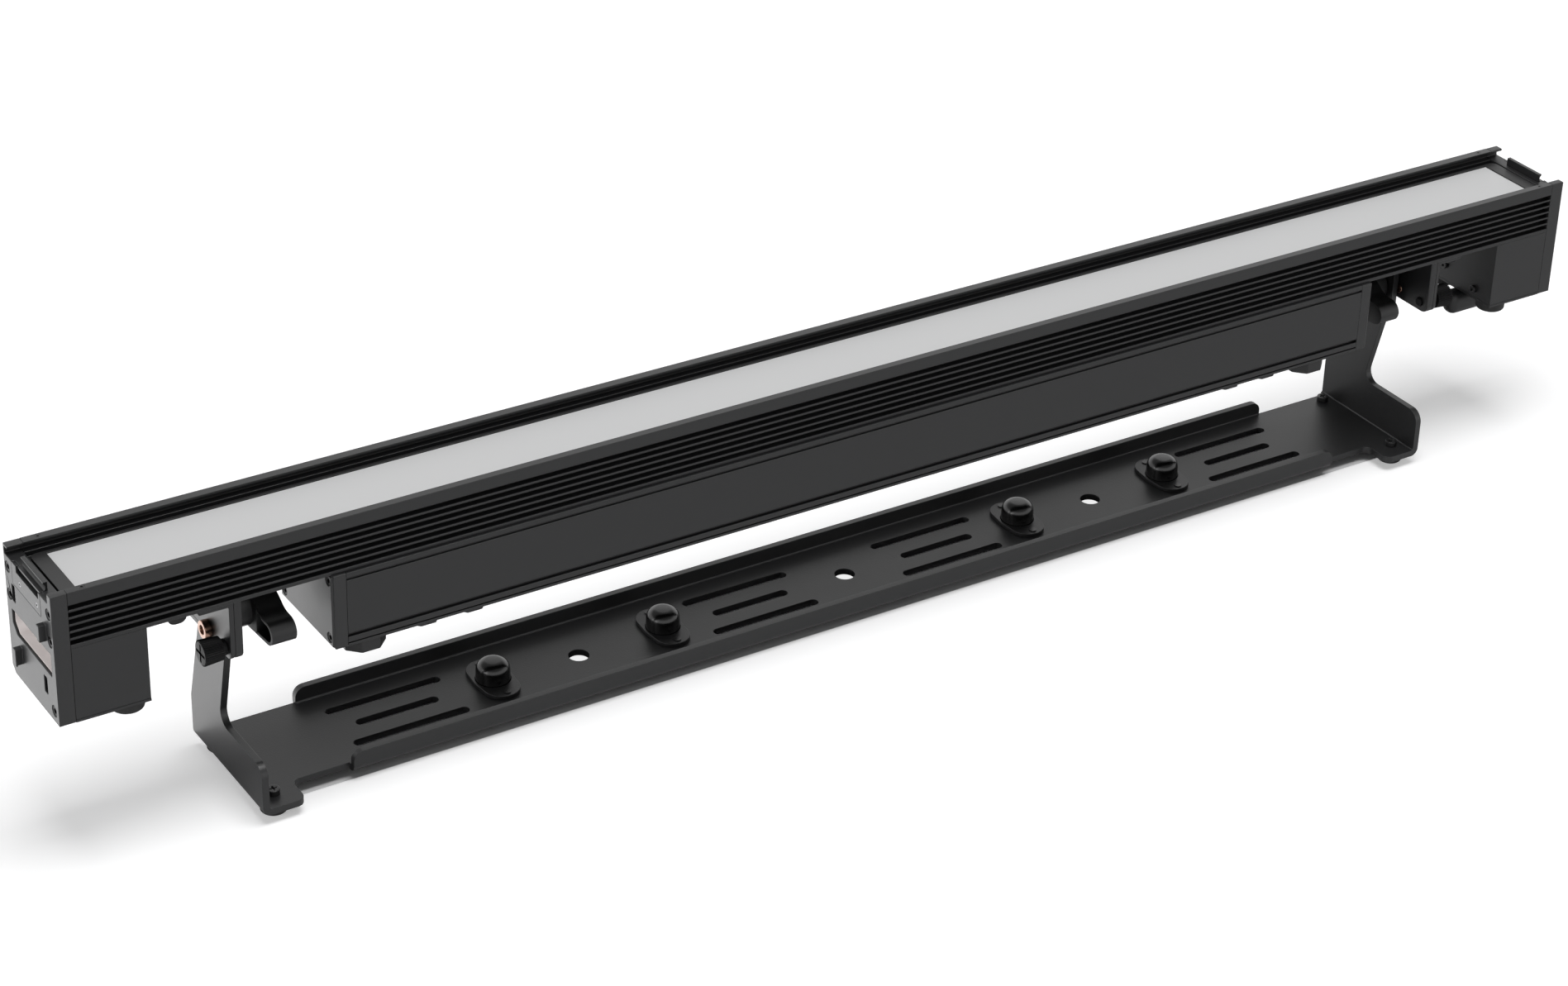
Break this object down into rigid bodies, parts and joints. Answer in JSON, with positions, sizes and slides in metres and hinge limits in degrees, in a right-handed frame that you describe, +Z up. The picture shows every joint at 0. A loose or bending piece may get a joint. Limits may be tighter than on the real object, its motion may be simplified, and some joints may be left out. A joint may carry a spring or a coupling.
{
  "type": "led pixel bar",
  "caption": "Linear lamp head with an opal lens and finned sides, tilting in a folded slotted floor bracket with clamp levers, and with joining tabs and sockets at its ends.",
  "frame": {"origin": "middle of the underside of the whole lamp, on the floor", "axes": "+X along the bar to its outlet end, +Y to the back, +Z up"},
  "size_m": [1.008, 0.0892, 0.168],
  "materials": {
    "anodised_black": "black anodised, satin, with a fine drawn line along the bar",
    "cast_black": "black powder coat on cast aluminium, satin",
    "sheet_black": "black powder coat on sheet, satin",
    "bracket_paint": "black powder coat with a fine texture, satin",
    "black_plastic": "black glass-filled plastic, matte",
    "socket_black": "black moulded plastic, satin",
    "dome_gloss": "black, glossy",
    "display_gloss": "smoked, glossy",
    "opal_plastic": "opal white, satin",
    "white_board": "white solder mask, satin",
    "green_board": "green solder mask, satin",
    "rubber": "black rubber, matte",
    "black_steel": "black oxide steel, satin",
    "thumb_black": "black anodised, knurled",
    "bare_steel": "bright zinc-plated steel",
    "bare_aluminium": "bare aluminium, satin",
    "copper_plate": "warm copper-nickel plating, bright"
  },
  "bodies": {
    "stand_bracket": {"bracket": "bracket_paint", "bracket_feet": "rubber", "foot_screws": "black_steel", "receptacle_flanges": "sheet_black", "receptacle_domes": "dome_gloss", "receptacle_rivets": "black_steel"},
    "head": {"led_profile": "anodised_black", "lens_frame": "black_plastic", "lens": "opal_plastic", "lens_gasket": "rubber", "light_board": "white_board", "rail_screws": "black_steel", "left_end_plate": "cast_black", "right_end_plate": "cast_black", "end_plate_screws": "black_steel", "clip_blades": "sheet_black", "clip_covers": "sheet_black", "clip_screws": "bare_steel", "left_end_box": "sheet_black", "right_end_box": "sheet_black", "left_end_cover": "sheet_black", "right_end_cover": "sheet_black", "end_box_feet": "rubber", "end_box_screws": "black_steel", "pocket_liner": "copper_plate", "bolt_guide": "bare_aluminium", "power_box": "anodised_black", "left_power_cap": "cast_black", "right_power_cap": "cast_black", "power_cap_screws": "black_steel", "power_inlet": "socket_black", "power_outlet": "socket_black", "data_inlet": "socket_black", "data_outlet": "socket_black", "network_inlet": "socket_black", "network_outlet": "socket_black", "supply_board": "green_board", "driver_board": "green_board", "button_board": "green_board", "display_window": "display_gloss", "stop_blocks": "black_plastic", "hanger_plates": "sheet_black", "carrier_plates": "sheet_black", "hanger_bolts": "black_steel", "hook_pins": "copper_plate", "pivot_studs": "bare_steel", "friction_washers": "black_plastic"},
    "left_clamp": {"left_lever": "black_plastic", "left_insert": "bare_steel"},
    "right_clamp": {"right_lever": "black_plastic", "right_insert": "bare_steel"},
    "left_thumb": {"left_thumbscrew": "thumb_black"},
    "right_thumb": {"right_thumbscrew": "thumb_black"},
    "coupling_latch": {"coupling_bolt": "bare_steel", "latch_handle": "black_plastic"},
    "menu_key": {"menu_button": "black_plastic"},
    "down_key": {"down_button": "black_plastic"},
    "up_key": {"up_button": "black_plastic"},
    "enter_key": {"enter_button": "black_plastic"}
  },
  "joints": [
    {"name": "head_tilt", "type": "hinge", "parent": "stand_bracket", "child": "head", "pos_m": [0, 0.00637, 0.106], "axis": [1, 0, 0], "range_deg": [-90, 90]},
    {"name": "left_clamp_turn", "type": "hinge", "parent": "head", "child": "left_clamp", "pos_m": [-0.382, 0.00637, 0.106], "axis": [1, 0, 0], "range_deg": [-40, 110]},
    {"name": "right_clamp_turn", "type": "hinge", "parent": "head", "child": "right_clamp", "pos_m": [0.382, 0.00637, 0.106], "axis": [1, 0, 0], "range_deg": [-40, 110]},
    {"name": "left_thumb_turn", "type": "hinge", "parent": "head", "child": "left_thumb", "pos_m": [-0.408, -0.02813, 0.106], "axis": [1, 0, 0], "continuous": true},
    {"name": "right_thumb_turn", "type": "hinge", "parent": "head", "child": "right_thumb", "pos_m": [0.408, -0.02813, 0.106], "axis": [1, 0, 0], "continuous": true},
    {"name": "coupling_slide", "type": "slide", "parent": "head", "child": "coupling_latch", "axis": [1, 0, 0], "range_m": [0, 0.012]},
    {"name": "menu_key_press", "type": "slide", "parent": "head", "child": "menu_key", "axis": [0, -1, 0], "range_m": [0, 0.0008], "stiffness_N_per_m": 500, "springref_m": -0.001},
    {"name": "down_key_press", "type": "slide", "parent": "head", "child": "down_key", "axis": [0, -1, 0], "range_m": [0, 0.0008], "stiffness_N_per_m": 500, "springref_m": -0.001},
    {"name": "up_key_press", "type": "slide", "parent": "head", "child": "up_key", "axis": [0, -1, 0], "range_m": [0, 0.0008], "stiffness_N_per_m": 500, "springref_m": -0.001},
    {"name": "enter_key_press", "type": "slide", "parent": "head", "child": "enter_key", "axis": [0, -1, 0], "range_m": [0, 0.0008], "stiffness_N_per_m": 500, "springref_m": -0.001}
  ]
}
